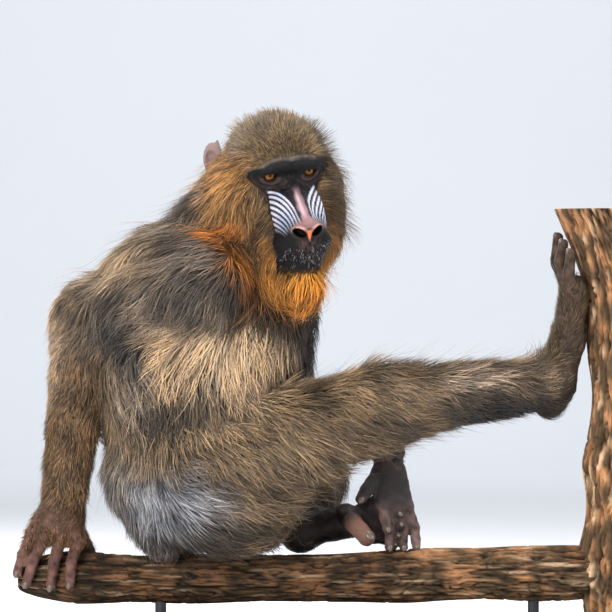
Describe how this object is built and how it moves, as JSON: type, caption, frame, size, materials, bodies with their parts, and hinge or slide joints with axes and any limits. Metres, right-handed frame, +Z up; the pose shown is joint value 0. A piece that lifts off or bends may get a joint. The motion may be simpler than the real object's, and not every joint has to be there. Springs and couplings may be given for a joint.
{
  "type": "mandrill figure",
  "caption": "Life-size mandrill sitting on a cut branch, one foot braced on the trunk, an arm propped behind, on a plain display stand.",
  "frame": {"origin": "centre of the display stand's underside, on the floor", "axes": "+X along the branch toward the trunk (the viewer's right in the picture), +Y away from the viewer, +Z up"},
  "size_m": [0.7147, 0.3957, 0.5825],
  "materials": {
    "fur_olive": "olive-brown banded fur",
    "fur_dark": "dark grey-brown long fur",
    "fur_pale": "pale cream-beige long fur",
    "fur_grey": "bluish grey fur",
    "fur_orange": "bright orange-yellow beard fur",
    "skin_dark": "dark brown-grey bare skin of hands and feet",
    "skin_pink": "pinkish grey bare skin",
    "eye_amber": "wet amber eye",
    "bark": "rough brown bark with sawn ends",
    "stand_metal": "matt dark grey paint"
  },
  "bodies": {
    "root": {"head": "fur_olive", "beard": "fur_orange", "neck": "fur_dark", "chest": "fur_dark", "belly": "fur_pale", "rump": "fur_grey", "tail": "fur_grey", "callosity_right": "skin_pink", "callosity_left": "skin_pink", "ear_right": "skin_pink", "ear_left": "skin_pink", "eye_right": "eye_amber", "eye_left": "eye_amber", "arm_upper_right": "fur_olive", "arm_upper_left": "fur_dark", "arm_fore_right": "fur_olive", "arm_fore_left": "fur_olive", "hand_right": "skin_dark", "hand_left": "skin_dark", "thigh_right": "fur_olive", "thigh_left": "fur_olive", "shank_right": "fur_olive", "shank_left": "fur_olive", "foot_right": "skin_dark", "foot_left": "skin_dark", "perch_branch": "bark", "stand_base": "stand_metal", "stand_rod_left": "stand_metal", "stand_rod_right": "stand_metal"}
  },
  "joints": []
}
